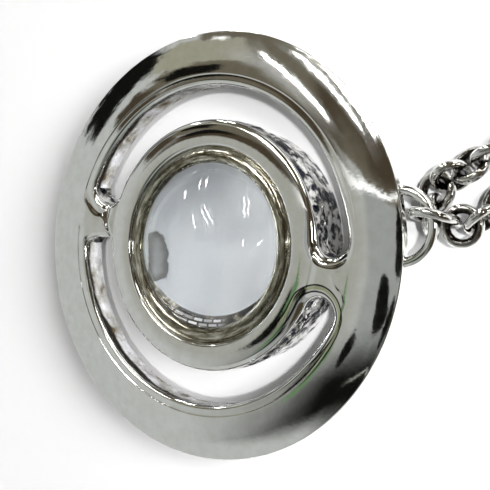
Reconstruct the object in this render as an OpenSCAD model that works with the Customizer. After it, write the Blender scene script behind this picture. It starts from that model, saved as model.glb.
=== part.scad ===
// Orb pendant on a chain of round links, lying on its back.
// Millimetres, +Z up. The back of the pendant and the chain rest at z = 0.
// The origin is below the middle of the whole necklace's bounding box.

/* [Outer ring] */
// Outside radius of the pendant
rim_r = 20; // [19:0.5:21]
// Height of the rim's upper edge above the back
rim_z = 5; // [4.8:0.1:5.2]
// Thickness of the rim's edge
rim_t = 0.8; // [0.6:0.1:1]
// Radius of the crease where the flange meets the flat land
crease_r = 15.9; // [15.7:0.1:16.2]
// Height of the flat land and of the necks
land_z = 6; // [5.9:0.05:6.1]
// Height of the inner ring's face, just proud of the land
face_z = 6.05; // [6.05:0.05:6.2]
// Rise of the flange's outward curve above a straight cone
flange_bulge = 0.15; // [0.1:0.05:0.3]
// Underside of the flange above the back
under_z = 3.6; // [3.4:0.1:3.8]

/* [Slots] */
// Outer radius of both slots
slot_out_r = 14.9; // [14.8:0.1:15]
// Angle of the upper slot's first end
upper_from = -4.1; // [-6:0.1:-2]
// Angle of the upper slot's last end
upper_to = 162.7; // [160:0.1:165]
// Angle of the lower slot's first end
lower_from = 177; // [175:0.1:179]
// Angle of the lower slot's last end
lower_to = 339.7; // [337:0.1:341]

/* [Inner ring] */
// Radius of the inner ring at its shoulder
ring_r = 11.7; // [11.6:0.1:11.8]
// Radius of the inner ring at the back
ring_back_r = 11.2; // [11:0.1:11.4]
// Radius of the rounded shoulder
shoulder_r = 0.65; // [0.5:0.05:0.8]
// Inner edge of the flat face
face_in_r = 9.4; // [9.3:0.1:9.6]
// Radius of the groove between face and lip
groove_r = 8.97; // [8.95:0.01:9.05]
// Depth of that groove below the face
groove_d = 0.35; // [0.2:0.05:0.5]
// Radius of the lip's round section
lip_t = 0.75; // [0.7:0.05:0.8]
// Radius at which the lip is highest
lip_r = 8.27; // [8.2:0.01:8.35]

/* [Crystal] */
// Radius of the clear ball
orb_r = 8.9; // [8.8:0.05:8.95]
// Height of the ball's centre above the back
orb_z = 1.13; // [1.05:0.01:1.2]
// Height of the ball's flat ground base
orb_flat = 0.5; // [0.4:0.05:0.6]
// Gap between crystal and metal
orb_gap = 0.05; // [0.04:0.01:0.08]
// Radius of the opening in the back
back_r = 8.3; // [8.2:0.05:8.5]

/* [Bail and jump ring] */
// Centreline radius of the bail loop
bail_r = 3.15; // [3.1:0.05:3.2]
// Wire radius of the bail loop
bail_w = 0.5; // [0.45:0.05:0.5]
// Distance of the bail's centre along the pendant
bail_x = 19.35; // [19.2:0.05:19.5]
// Distance of the bail's centre across the pendant
bail_y = 1.8; // [1.6:0.1:2]
// Height of the bail above the back
bail_z = 4.4; // [4.4:0.05:4.5]

/* [Chain] */
// Centreline radius of a link
link_r = 1.5; // [1.495:0.005:1.505]
// Wire radius of a link
link_w = 0.42; // [0.41:0.005:0.42]
// Largest distance between two links
pitch_max = 2; // [1.99:0.005:2]
// Half the width of the laid out loop
loop_half = 42; // [38:1:46]
// Distance from the pendant's centre to the clasp
loop_x = 205; // [200:1:215]
// Heading at which the upper strand leaves the pendant
upper_leave = 40; // [35:1:45]
// Heading at which the lower strand leaves the pendant
lower_leave = -50; // [-55:1:-45]
// Turn of every link about the strand where it lies free
free_turn = -30; // [-35:1:-25]
// Number of links over which the strand turns
turn_links = 30; // [20:1:40]

/* [Clasp] */
// Centreline radius of the spring ring
clasp_r = 2.65; // [2.6:0.05:2.8]
// Wire radius of the spring ring
clasp_w = 0.35; // [0.3:0.01:0.36]
// Centreline radius of its end loop
eye_r = 1.6; // [1.5:0.05:1.7]
// Wire radius of its end loop
eye_w = 0.3; // [0.25:0.01:0.3]

/* [Hidden] */
$fn = 64;
// Colours of the metal and of the crystal
metal = [0.78, 0.79, 0.80];
clear = [0.84, 0.88, 0.90, 0.5];
// Extra reach of a cut past a face
past = 1;
// Chord of the flange from the rim's edge up to the crease
flange_w = rim_r - crease_r;
flange_h = land_z - rim_z;
flange_chord = sqrt(flange_w * flange_w + flange_h * flange_h);
flange_arc = flange_chord * flange_chord / 8 / flange_bulge + flange_bulge / 2;
flange_back = flange_arc - flange_bulge;
flange_x = (rim_r + crease_r) / 2 - flange_back * flange_h / flange_chord;
flange_z = (rim_z + land_z) / 2 - flange_back * flange_w / flange_chord;
// Where the underside turns down towards the rim
under_r = 17;
// The slots' rounded ends
slot_half = (slot_out_r - ring_r) / 2;
slot_mid = (slot_out_r + ring_r) / 2;
end_turn = asin(slot_half / slot_mid);
// How far the round ends stay inside the slots' walls, so that their faces meet cleanly
end_ease = 0.01;
// Radius of the inner ring's wall where it meets the underside
wall_r = ring_back_r + 0.2;
// Middle and reach of the bail's arc, which ends inside the rim
bail_from = -90;
bail_turn = 192;
// The jump ring stands nearly upright in the bail
jump_r = 1.95;
jump_w = 0.45;
jump_at = [22.24, 2.58, 3.6];
jump_heading = -8.7;
jump_turn = 78.5;
// Links between the jump ring and the free strands, each with
// x, y, z, heading and turn about the strand
upper_first = [
    [21.16, 2.91, 1.95, 81, 99],
    [21.38, 4.89, 1.6, 47, -14],
    [22.88, 6.16, 1.85, 29, 62],
    [24.66, 7.07, 1.84, 21, -35]
];
lower_first = [
    [24.43, 1.86, 2.91, 69, 9],
    [26.07, 2.49, 2.28, 37, 83.5],
    [27.42, 3.83, 1.87, 38, -24]
];
// Start of each free strand: x, y, heading
upper_start = [26.54, 7.8, 22];
lower_start = [29.2, 4.74, 22];
// Turn about the strand of its first link and of the next one
start_turn = 75;
next_turn = -15;
// Radii of the first bend of each strand
upper_bend = 60;
lower_bend = 16;
// How far a strand's last link has its centre beyond the wire that it hangs on
end_reach = 0.4;
// Places of the clasp's end loop and of the strands' last links
eye_y = clasp_r + 0.4 + eye_r;
upper_end_y = eye_y + eye_r + end_reach;
lower_end_y = -clasp_r - end_reach;
// Degrees of an arc of one radius's length
rad = 180 / PI;

// A bend of one radius from one heading to another, as a length and a turn.
function bend(radius, from, to) = [radius * abs(to - from) / rad, to - from];

// Change of x and of y over a bend.
function bend_x(radius, from, to) = radius * abs(sin(to) - sin(from));
function bend_y(radius, from, to) = radius * abs(cos(to) - cos(from));

// Place and heading after s millimetres of a segment that starts at p.
function go(p, length, turn, s) = turn == 0
    ? [p[0] + s * cos(p[2]), p[1] + s * sin(p[2]), p[2]]
    : let (r = length * rad / turn, h = p[2] + turn * s / length)
      [p[0] + r * (sin(h) - sin(p[2])), p[1] - r * (cos(h) - cos(p[2])), h];

// Place and heading after s millimetres of a path of segments.
function along(path, s, p, i = 0) = i == len(path) - 1 || s <= path[i][0]
    ? go(p, path[i][0], path[i][1], s)
    : along(path, s - path[i][0], go(p, path[i][0], path[i][1], path[i][0]), i + 1);

// Length of a path.
function total(path, i = 0) = i == len(path) ? 0 : path[i][0] + total(path, i + 1);

// The upper strand bends out, back to the loop's top, runs straight and rounds the far end.
upper_rise = loop_half - upper_start[1] - bend_y(upper_bend, upper_start[2], upper_leave);
upper_back = upper_rise / (1 - cos(upper_leave));
upper_turn_x = upper_start[0] + bend_x(upper_bend, upper_start[2], upper_leave)
    + bend_x(upper_back, upper_leave, 0);
upper_far = loop_half - upper_end_y;
upper_path = [
    bend(upper_bend, upper_start[2], upper_leave),
    bend(upper_back, upper_leave, 0),
    [loop_x - upper_far - upper_turn_x, 0],
    bend(upper_far, 0, -90)
];

// The lower strand does the same on its own side.
lower_dip = bend_y(lower_bend, lower_start[2], lower_leave);
lower_back = (loop_half + lower_start[1] - lower_dip) / (1 - cos(lower_leave));
lower_turn_x = lower_start[0] + bend_x(lower_bend, lower_start[2], lower_leave)
    + bend_x(lower_back, lower_leave, 0);
lower_far = loop_half + lower_end_y;
lower_path = [
    bend(lower_bend, lower_start[2], lower_leave),
    bend(lower_back, lower_leave, 0),
    [loop_x - lower_far - lower_turn_x, 0],
    bend(lower_far, 0, 90)
];

// Shift that puts the middle of the whole necklace over the origin
middle_x = (loop_x + clasp_r + clasp_w - rim_r) / 2;

// Sub-part to build, or all of them

// Section of the flange, from the crease out to the rim.
module flange_section() {
    intersection() {
        translate([flange_x, flange_z]) circle(r = flange_arc, $fn = 96);
        polygon([
            [crease_r, under_z],
            [under_r, under_z],
            [rim_r, rim_z - rim_t],
            [rim_r, face_z + past],
            [crease_r, face_z + past]
        ]);
    }
}

// Section of the inner ring and of the flat band between it and the crease.
module ring_section() {
    polygon([
        [back_r - 0.4, 0],
        [ring_back_r, 0],
        [wall_r, under_z],
        [crease_r, under_z],
        [crease_r, land_z],
        [ring_r - shoulder_r / 2, land_z],
        [ring_r - shoulder_r / 2, face_z],
        [face_in_r, face_z],
        [groove_r, face_z - groove_d],
        [lip_r, face_z - lip_t],
        [back_r - 0.4, face_z - lip_t]
    ]);
    translate([lip_r, face_z + 0.1 - lip_t]) circle(r = lip_t, $fn = 32);
}

// Section of a slot: the inner ring's shoulder, its wall, and the slot's plain outer wall.
module slot_section() {
    shoulder = [for (turn = [80 : -20 : 0])
        [ring_r - shoulder_r * (1 - cos(turn)), face_z - shoulder_r * (1 - sin(turn))]];
    polygon(concat(
        [[shoulder[0][0] - 0.05, face_z + past]],
        shoulder,
        [[wall_r + 0.15, under_z]],
        [[wall_r + 0.15, under_z - past]],
        [[slot_out_r, under_z - past]],
        [[slot_out_r, face_z + past]]
    ));
}

// Cut of one slot, with round ends.
module slot(from, to) {
    first = from + end_turn;
    last = to - end_turn;
    rotate([0, 0, first]) rotate_extrude(angle = last - first) slot_section();
    for (turn = [first, last])
        rotate([0, 0, turn]) translate([slot_mid, 0, under_z - past])
            cylinder(r = slot_half - end_ease, h = face_z - under_z + 2 * past);
}

// Space for the ball and its ground base inside the inner ring.
module seat() {
    seat_r = orb_r + orb_gap;
    ledge_z = orb_flat - orb_gap;
    translate([0, 0, orb_z]) sphere(r = seat_r);
    translate([0, 0, ledge_z]) cylinder(r = seat_r, h = orb_z - ledge_z);
    translate([0, 0, -past]) cylinder(r = back_r, h = 2 * past);
}

// Round wire ring about the z axis.
module wire_ring(radius, wire) {
    rotate_extrude() translate([radius, 0]) circle(r = wire, $fn = 24);
}

// One link at a place, with its heading and its turn about the strand.
module link(at, heading, turn) {
    translate(at) rotate([turn, 0, heading]) wire_ring(link_r, link_w);
}

// A free strand: its links turn from upright and flat to leaning both ways as they settle.
module strand(path, start) {
    count = ceil(total(path) / pitch_max);
    step = total(path) / count;
    for (i = [0 : count]) {
        p = along(path, i * step, start);
        settle = free_turn * min(1, i / turn_links);
        height = link_r * sin(start_turn + settle) + link_w;
        turn = (i % 2 == 0 ? start_turn : next_turn) + settle;
        link([p[0], p[1], height], p[2], turn);
    }
}

module pendant_frame() {
    color(metal) translate([-middle_x, 0, 0]) {
        difference() {
            rotate_extrude() {
                flange_section();
                ring_section();
            }
            slot(upper_from, upper_to);
            slot(lower_from, lower_to);
            seat();
        }
        translate([bail_x, bail_y, bail_z]) rotate([0, 0, bail_from])
            rotate_extrude(angle = bail_turn) translate([bail_r, 0]) circle(r = bail_w, $fn = 24);
    }
}

module crystal_orb() {
    color(clear) translate([-middle_x, 0, 0]) intersection() {
        translate([0, 0, orb_z]) sphere(r = orb_r);
        translate([0, 0, orb_flat]) cylinder(r = orb_r + past, h = 2 * orb_r);
    }
}

module jump_ring() {
    color(metal) translate([-middle_x, 0, 0]) translate(jump_at)
        rotate([jump_turn, 0, jump_heading]) wire_ring(jump_r, jump_w);
}

module chain_upper() {
    color(metal) translate([-middle_x, 0, 0]) {
        for (row = upper_first)
            link([row[0], row[1], row[2]], row[3], row[4]);
        strand(upper_path, upper_start);
    }
}

module chain_lower() {
    color(metal) translate([-middle_x, 0, 0]) {
        for (row = lower_first)
            link([row[0], row[1], row[2]], row[3], row[4]);
        strand(lower_path, lower_start);
    }
}

module clasp() {
    height = link_r * sin(start_turn + free_turn) + link_w;
    color(metal) translate([loop_x - middle_x, 0, height]) {
        wire_ring(clasp_r, clasp_w);
        translate([0, eye_y, 0]) wire_ring(eye_r, eye_w);
        translate([clasp_r, 0, 0]) cylinder(r = 0.35, h = clasp_w + 0.5);
    }
}

pendant_frame();
crystal_orb();
jump_ring();
chain_upper();
chain_lower();
clasp();
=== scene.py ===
# %% [markdown]
# # Orb pendant
# A cast metal pendant lies on its back on a white table. A clear round crystal sits in an inner
# ring, and two short necks join that ring to a wide polished outer ring. A small loop on the rim
# carries a wire jump ring and both ends of a chain of round links.
# We start by loading the finished CAD solids. Their places and sizes stay as they are, and our
# job is how the pieces look.

# %% Load the solids
import math
import bpy
import numpy as np
from mathutils import Matrix, Vector, noise


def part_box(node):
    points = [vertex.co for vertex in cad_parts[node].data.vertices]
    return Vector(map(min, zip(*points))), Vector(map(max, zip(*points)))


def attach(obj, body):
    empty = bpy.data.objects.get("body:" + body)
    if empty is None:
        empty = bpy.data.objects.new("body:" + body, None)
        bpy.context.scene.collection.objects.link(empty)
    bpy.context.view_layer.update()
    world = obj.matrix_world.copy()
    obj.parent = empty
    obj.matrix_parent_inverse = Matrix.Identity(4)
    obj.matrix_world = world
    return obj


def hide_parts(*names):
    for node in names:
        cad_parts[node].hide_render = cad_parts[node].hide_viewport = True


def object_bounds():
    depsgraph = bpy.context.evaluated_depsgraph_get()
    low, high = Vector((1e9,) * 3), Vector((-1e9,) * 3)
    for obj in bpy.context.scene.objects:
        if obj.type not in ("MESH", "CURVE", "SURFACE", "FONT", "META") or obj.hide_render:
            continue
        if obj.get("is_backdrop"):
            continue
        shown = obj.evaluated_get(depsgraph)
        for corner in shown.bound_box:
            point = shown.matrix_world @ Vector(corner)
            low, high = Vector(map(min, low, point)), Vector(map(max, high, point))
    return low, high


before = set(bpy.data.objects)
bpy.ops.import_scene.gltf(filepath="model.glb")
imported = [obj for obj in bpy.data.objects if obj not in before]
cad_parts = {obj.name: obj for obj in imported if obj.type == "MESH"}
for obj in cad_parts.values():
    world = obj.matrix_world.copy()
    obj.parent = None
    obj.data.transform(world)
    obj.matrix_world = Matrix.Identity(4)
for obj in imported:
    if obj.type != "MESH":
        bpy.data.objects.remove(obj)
print(len(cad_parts), "pieces loaded")

# %% [markdown]
# ## Where the pendant is
# The model's origin is under the middle of the whole laid out necklace, so the pendant sits far
# off to one side. Every shape below is written in millimetres about the pendant's own centre,
# and each piece is moved into place when it is made.
# The place could be typed in, but a measured one stays right when the model changes.

# %% Measure the model
MM = 0.001
RIM_R = 20.0
start_low, start_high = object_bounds()
frame_low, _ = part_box("pendant_frame")
CENTRE = Vector((frame_low.x + RIM_R * MM, 0, 0))
print("pendant centre at", tuple(round(c, 4) for c in CENTRE))

# %% [markdown]
# ## Sizes of the casting
# These are the CAD's own sizes, all in millimetres. The two rings are cut apart by two slots, each
# given by the angles where it starts and stops. A slot's end is a half round, so the plain arc
# between its two edges stops a little before that.
# They are typed once, here, so the front and the finishes can't drift apart.

# %% Sizes of the rings and slots
CREASE_R, LAND_Z, FACE_Z, RIM_Z, UNDER_Z, UNDER_R = 15.9, 6.0, 6.05, 5.0, 3.6, 17.0
RING_R, RING_BACK_R, WALL_R, SHOULDER = 11.7, 11.2, 11.4, 0.5
SLOT_OUT_R, FLANGE_BULGE, EDGE = 14.9, 0.15, 0.42
SLOTS = ((-4.1, 162.7), (177.0, 339.7))
MID = (SLOT_OUT_R + RING_R) / 2
HALF = (SLOT_OUT_R - RING_R) / 2
END = math.degrees(math.asin(HALF / MID))
TIP_R = math.sqrt(MID ** 2 - HALF ** 2)
print("slots", round(2 * HALF, 2), "mm wide, each end", round(END, 2), "degrees deep")

# %% [markdown]
# ## Helpers for nodes
# Looks are made of nodes: small boxes that take some values and give one. The room is made of
# them too, so both use the same helpers. A source is another node's output or a plain value.
# They could be dragged together by hand, but a recipe in words can be read, repeated and changed.

# %% Node helpers
class Nodes:
    """A node tree and short ways to add to it."""

    def __init__(self, tree):
        self.tree = tree

    def feed(self, sockets, sources):
        for socket, source in zip(sockets, sources):
            if isinstance(source, bpy.types.NodeSocket):
                self.tree.links.new(source, socket)
            else:
                socket.default_value = source

    def add(self, kind, *sources, **settings):
        """A new node, with what feeds its first sockets."""
        node = self.tree.nodes.new(kind)
        for key, value in settings.items():
            setattr(node, key, value)
        self.feed(node.inputs, sources)
        return node

    def maths(self, operation, *sources):
        return self.add("ShaderNodeMath", *sources, operation=operation).outputs[0]

    def product(self, first, *others):
        for other in others:
            first = self.maths("MULTIPLY", first, other)
        return first

    def vectors(self, operation, *sources):
        return self.add("ShaderNodeVectorMath", *sources, operation=operation).outputs[0]

    def split(self, vector):
        return self.add("ShaderNodeSeparateXYZ", vector).outputs

    def join(self, x, y, z=0.0):
        return self.add("ShaderNodeCombineXYZ", x, y, z).outputs[0]

    def between(self, value, low, high, first=0.0, last=1.0, **settings):
        """The first value at low, the last one at high, and a change from one to the other."""
        return self.add("ShaderNodeMapRange", value, low, high, first, last, **settings).outputs[0]

    def blend(self, share, first, second):
        """One colour fading into another by a share."""
        node = self.add("ShaderNodeMix", data_type="RGBA")
        self.feed((node.inputs[0], *node.inputs[6:8]), (share, first, second))
        return node.outputs[2]


print("node helpers:", [name for name in vars(Nodes) if name[0] != "_"])

# %% [markdown]
# ## Helpers for finishes
# A finish here is a small node tree: colour, roughness and a height pattern that bends the
# light a little. These helpers keep each recipe to a few lines.

# %% Finish helpers
def grey(value):
    return (value, value, value)


# the circle on which an angle round the pendant is turned into a length
AROUND_R = 8.3


class Finish(Nodes):
    """A new material and the patterns that it can have."""

    def __init__(self, name, **values):
        self.mat = bpy.data.materials.new(name)
        self.mat.use_nodes = True
        super().__init__(self.mat.node_tree)
        self.shader = self.tree.nodes["Principled BSDF"]
        for key, value in values.items():
            self.shader.inputs[key].default_value = value
        self.coords = self.add("ShaderNodeTexCoord").outputs["Object"]

    def to(self, socket, source):
        self.feed([self.shader.inputs[socket]], [source])

    def noise(self, scale, detail=2.0, rough=0.5, stretch=None):
        """Noise of that many features a metre, stretched along an axis if asked."""
        source = self.vectors("MULTIPLY", self.coords, stretch) if stretch else self.coords
        node = self.add("ShaderNodeTexNoise", source)
        for key, value in (("Scale", scale), ("Detail", detail), ("Roughness", rough)):
            node.inputs[key].default_value = value
        return node.outputs["Fac"]

    def around(self):
        """Coordinates that run round the pendant: along its ring, outward and up."""
        x, y, z = self.split(self.coords)
        angle = self.maths("ARCTAN2", y, x)
        radius = self.maths("SQRT", self.maths("ADD", self.product(x, x), self.product(y, y)))
        return self.join(self.product(angle, AROUND_R * MM), radius, z), (angle, radius, z)

    def ramp(self, source, *stops):
        """Colours or greys along a value: (place, colour) pairs."""
        node = self.add("ShaderNodeValToRGB", source)
        elements = node.color_ramp.elements
        while len(elements) < len(stops):
            elements.new(0.5)
        for element, (place, colour) in zip(elements, stops):
            element.position = place
            element.color = (*colour, 1)
        return node.outputs["Color"]

    def rough(self, scale, detail, *stops):
        """Roughness from noise: (place, roughness) pairs."""
        greys = [(place, grey(much)) for place, much in stops]
        self.to("Roughness", self.ramp(self.noise(scale, detail), *greys))

    def relief(self, *layers):
        """Layers of bumps, each over the one before: a height in millimetres, then its noise."""
        normal = None
        for height, *pattern in layers:
            node = self.add("ShaderNodeBump")
            node.inputs["Strength"].default_value = 1.0
            node.inputs["Distance"].default_value = height * MM
            self.feed([node.inputs["Height"]], [self.noise(*pattern)])
            if normal is not None:
                self.feed([node.inputs["Normal"]], [normal])
            normal = node.outputs["Normal"]
        self.to("Normal", normal)


print("finish helpers:", [name for name in vars(Finish) if name[0] != "_"])

# %% [markdown]
# ## The polished metal
# The real casting is plated and tumbled, not machined. Broad waves stay in its polish, and they
# pull the reflections of the room out of line. A fine grain breaks up the highlights. Two heights
# of noise, one laid over the other, give both.
# A picture of scratches would show where it repeats on so wide a rim, and noise never repeats.

# %% Polished metal
polished = Finish("polished_metal", Metallic=1.0)
plating = polished.ramp(polished.noise(900, 4), (0.35, (0.80, 0.80, 0.77)), (0.7, (0.87, 0.87, 0.85)))
polished.rough(1500, 5, (0.3, 0.03), (0.8, 0.08))
polished.relief((0.035, 170, 1), (0.0018, 2600, 3))
print("polish of", len(polished.tree.nodes), "nodes")

# %% [markdown]
# Round the slots' right ends the rolled edge carries lines of painted reflection, bands of the room
# as the curved metal would mirror them. They are laid on by the distance from a slot's edge: from
# the round end's own centre past the end, and across the slot along its side.
# A little noise bends the lines.
# A brush could paint them on a flat copy of the surface, but a distance needs no such copy and
# stays sharp however near the eye comes.

# %% Distance from the slots' right ends
EDGE_TOP_Z = 5.8
# where each round end has its centre, and its angle round the pendant in degrees
ROUND_ENDS = {"lower": (11.83, -6.08, -27.2), "upper": (13.28, 0.65, 2.8)}

_, (turn, out, _) = polished.around()
bent = polished.product(polished.maths("SUBTRACT", polished.noise(300, 2), 0.5), 0.4 * MM)
off_middle = polished.maths("ABSOLUTE", polished.maths("SUBTRACT", out, MID * MM))
across = polished.maths("ADD", off_middle, bent)
gaps = {}
for name, (x, y, angle) in ROUND_ENDS.items():
    centre = (x * MM, y * MM, EDGE_TOP_Z * MM)
    reach = polished.add("ShaderNodeVectorMath", polished.coords, centre, operation="DISTANCE")
    past = polished.maths("GREATER_THAN" if name == "lower" else "LESS_THAN", turn, math.radians(angle))
    round_part = polished.product(polished.maths("ADD", reach.outputs["Value"], bent), past)
    side_part = polished.product(across, polished.maths("SUBTRACT", 1.0, past))
    gaps[name] = polished.maths("SUBTRACT", polished.maths("ADD", round_part, side_part), HALF * MM)
print("distances for", ", ".join(gaps))

# %% [markdown]
# With that distance each painted reflection line is a place and a width, and it fades out along
# the slot. A mossy line runs between two black ones at the lower slot, and a brown one follows the
# upper slot.

# %% Painted reflection lines
def line(distance, place, width):
    """1 on a line where a distance passes a place, fading to 0 at a width from it."""
    away = polished.maths("ABSOLUTE", polished.maths("SUBTRACT", distance, place * MM))
    return polished.between(away, width * MM, 0.25 * width * MM)


# painted reflection: mossy, brown and black lines round the slots' right ends
lower_side = polished.product(polished.between(turn, -0.95, -0.62), polished.between(turn, -0.18, -0.24))
green = polished.product(line(gaps["lower"], 0.92, 0.24), lower_side)
two_lines = polished.maths("MAXIMUM", line(gaps["lower"], 1.16, 0.11), line(gaps["lower"], 0.60, 0.12))
black = polished.product(two_lines, lower_side)
upper_side = polished.product(polished.between(turn, -0.30, -0.26), polished.between(turn, 0.30, 0.05))
brown = polished.product(line(gaps["upper"], 0.50, 0.14), upper_side)
tinted = polished.blend(polished.product(green, 0.8), plating, (0.42, 0.45, 0.22, 1))
tinted = polished.blend(polished.product(brown, 0.75), tinted, (0.10, 0.07, 0.05, 1))
polished.to("Base Color", polished.blend(black, tinted, (0.012, 0.014, 0.012, 1)))
print("polish with its lines:", len(polished.tree.nodes), "nodes")

# %% [markdown]
# ## Slot walls
# Inside the slots no wheel reached, so the skin there is still the sand-rough skin of the mould.
# Its colour is painted with random near-black and near-white spots: painted shade as in its hollows
# and painted glints as on its tops. Deep bumps scatter the room's reflections.
# These bumps only bend the light. The coarse lumps come later, in the mesh itself, because the
# eye sees their outline.

# %% Cast slot walls
cast = Finish("cast_metal", Metallic=1.0)
# painted shade and painted glints: random near-black and near-white spots
cast.to("Base Color", cast.ramp(cast.noise(1000, 5, 0.6), (0.45, (0.02, 0.022, 0.035)),
                                (0.50, (0.45, 0.44, 0.41)), (0.54, (0.95, 0.95, 0.93))))
cast.rough(1300, 3, (0.35, 0.04), (0.7, 0.14))
cast.relief((0.34, 700, 2), (0.14, 2000, 3, 0.6))
print("walls of", len(cast.tree.nodes), "nodes")

# %% [markdown]
# The outer walls of the slots are smoother and duller. Just under their top edge a near-black band
# is painted shade, where the rolled edge hangs over the wall, and a few brown stains stay lower down.
# Dirt hides most of the metal there, so this finish is only a third metal. The height above the
# table tells it where the top edge is.

# %% Satin outer walls
satin = Finish("satin_metal", Metallic=0.3)
_, (_, _, height) = satin.around()
# painted shade: a ragged near-black band just under the walls' top edge
shade_band_height = satin.maths("ADD", height, satin.product(satin.noise(260, 3), 1.6 * MM))
clean = satin.ramp(satin.noise(420, 4, 0.6), (0.38, (0.035, 0.025, 0.015)),
                   (0.44, (0.11, 0.107, 0.095)), (0.58, (0.205, 0.205, 0.21)))
painted_shade_band = satin.between(shade_band_height, 5.75 * MM, 6.05 * MM)
satin.to("Base Color", satin.blend(painted_shade_band, clean, (0.006, 0.005, 0.004, 1)))
satin.rough(900, 3, (0.35, 0.22), (0.7, 0.42))
satin.relief((0.10, 500, 4))
print("satin of", len(satin.tree.nodes), "nodes")

# %% [markdown]
# ## Lip and wire
# A steel tool rubbed the lip over the crystal and left short streaks along it, so its noise is
# stretched round the ring.
# Cutting them into the mesh would take far more faces than they are worth.

# %% Rubbed lip
lip = Finish("lip_metal", Metallic=1.0)
lip.coords, _ = lip.around()
streaks = lip.noise(2600, 4, 0.6, (0.22, 1, 1))
lip.to("Base Color", lip.ramp(streaks, (0.36, (0.16, 0.14, 0.09)), (0.52, (0.40, 0.38, 0.30)),
                              (0.68, (0.72, 0.70, 0.62))))
lip.rough(2200, 3, (0.35, 0.10), (0.7, 0.22))
lip.relief((0.05, 2400, 3, 0.6, (0.3, 1, 1)))
print("lip of", len(lip.tree.nodes), "nodes")

# %% [markdown]
# Wire rings are painted black on their inner sides: painted shade where the links close round each
# other, mixed with tarnish where they rub and no cloth reaches.
# Each wire mesh below stores how far a point faces its ring's middle, and the finish reads that.
# A node that looks for near surfaces could find these places too, but a stored value is quicker
# and has no grain.

# %% Wire
wire = Finish("wire_metal", Metallic=1.0)
inward = wire.add("ShaderNodeAttribute", attribute_name="inward").outputs["Fac"]
# painted shade on the rings' inner sides, with some tarnish and wear
shade_and_wear = wire.maths("ADD", inward, wire.product(wire.noise(900, 4, 0.6), 0.5))
wire.to("Base Color", wire.ramp(shade_and_wear, (0.25, (0.78, 0.78, 0.76)), (0.55, (0.50, 0.49, 0.45)),
                                (0.95, (0.05, 0.045, 0.04))))
wire.rough(1600, 4, (0.35, 0.06), (0.75, 0.18))
wire.relief((0.06, 1300, 3))
print("metals:", [m.name for m in bpy.data.materials])

# %% [markdown]
# ## The casting's front
# One grid of points will go round the pendant. Each column runs from the inner ring's back, over
# its lip and face, to the edge of a slot, and on from the slot's far edge over the flange to the
# underside. The front's height depends on how near a slot is, so we first need that distance.
# Slots cut out of a turned disc would be quicker to make. But the cut leaves long thin faces, and
# polished metal shows every one of them, so our faces follow the slots instead.

# %% Distance to a slot
def end_power(centre):
    """How square a slot's end is: 2 is round. The lower slot's left end is nearly square."""
    return 4 if abs(centre - SLOTS[1][0] - END) < 1 else 2


def slot_gap(r, degrees):
    """Distance from a point to the nearest slot's edge, in millimetres: below zero inside."""
    best = np.full(np.shape(r), 99.0)
    x, y = r * np.cos(np.radians(degrees)), r * np.sin(np.radians(degrees))
    for first, last in SLOTS:
        a, b = first + END, last - END
        along = (degrees - a) % 360
        side = np.abs(r - MID) - HALF
        ends = []
        for centre in (a, b):
            c, s = math.cos(math.radians(centre)), math.sin(math.radians(centre))
            power = end_power(centre)
            out, on = x * c + y * s - MID, -x * s + y * c
            ends.append((np.abs(out) ** power + np.abs(on) ** power) ** (1 / power) - HALF)
        best = np.minimum(best, np.where(along <= (b - a) % 360, side, np.minimum(*ends)))
    return best


print("right neck is", round(float(slot_gap(np.array(MID), -12.2)), 2), "mm from a slot")

# %% [markdown]
# The necks aren't plain. At the left one the mould left a groove, deep and wide at its top and
# fine below. At the right one a very low ridge marks where the inner ring meets the flange.
# Both are dents and swellings of one skin, so they change its height and aren't pieces of their own.

# %% Groove and ridge of the necks
# points along each, with its half width and depth there
NECK_GROOVE = ((-12.25, 4.2, 0.75, 0.36), (-12.3, 3.2, 0.48, 0.28), (-12.3, 2.1, 0.17, 0.17),
               (-11.95, 1.3, 0.11, 0.11), (-11.55, 0.2, 0.09, 0.08), (-11.5, -0.6, 0.08, 0.05))
NECK_RIDGE = ((13.3, -2.3, 0.15, 0.004), (13.7, -2.9, 0.15, 0.02), (14.05, -3.6, 0.15, 0.01))


def groove(x, y, points):
    """Depth of a groove along a line of short straight pieces."""
    best = np.zeros(np.shape(x))
    for (ax, ay, aw, ad), (bx, by, bw, bd) in zip(points, points[1:]):
        t = ((x - ax) * (bx - ax) + (y - ay) * (by - ay)) / ((bx - ax) ** 2 + (by - ay) ** 2)
        t = np.clip(t, 0, 1)
        away = np.hypot(x - ax - t * (bx - ax), y - ay - t * (by - ay)) / (aw + t * (bw - aw))
        best = np.maximum(best, (ad + t * (bd - ad)) * np.exp(-away ** 2))
    return best


print("left groove", round(float(groove(np.array(-12.25), np.array(4.2), NECK_GROOVE)), 2), "mm deep")

# %% [markdown]
# The flange's section is a very flat arc from the crease to the rim. The ring's face has a slight
# crown. Where the front comes to a slot, its edge rolls over in a quarter oval.
# A bevel would round that edge by the same width everywhere, and the real one widens at the right
# neck, so we work out the height point by point.

# %% Height of the front
FLANGE_TOP_R = CREASE_R - 0.55
CROWN_R, LEFT_NECK, RIGHT_NECK = 9.9, 177, -12


def smooth(low, high, value):
    t = np.clip((value - low) / (high - low), 0, 1)
    return t * t * (3 - 2 * t)


def flange_height(r):
    """The flange's flat curve from the crease to the rim."""
    chord = math.hypot(RIM_R - CREASE_R, LAND_Z - RIM_Z)
    arc = chord ** 2 / 8 / FLANGE_BULGE + FLANGE_BULGE / 2
    back = arc - FLANGE_BULGE
    cx = (RIM_R + CREASE_R) / 2 - back * (LAND_Z - RIM_Z) / chord
    cz = (RIM_Z + LAND_Z) / 2 - back * (RIM_R - CREASE_R) / chord
    return cz + np.sqrt(arc ** 2 - (r - cx) ** 2)


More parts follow.
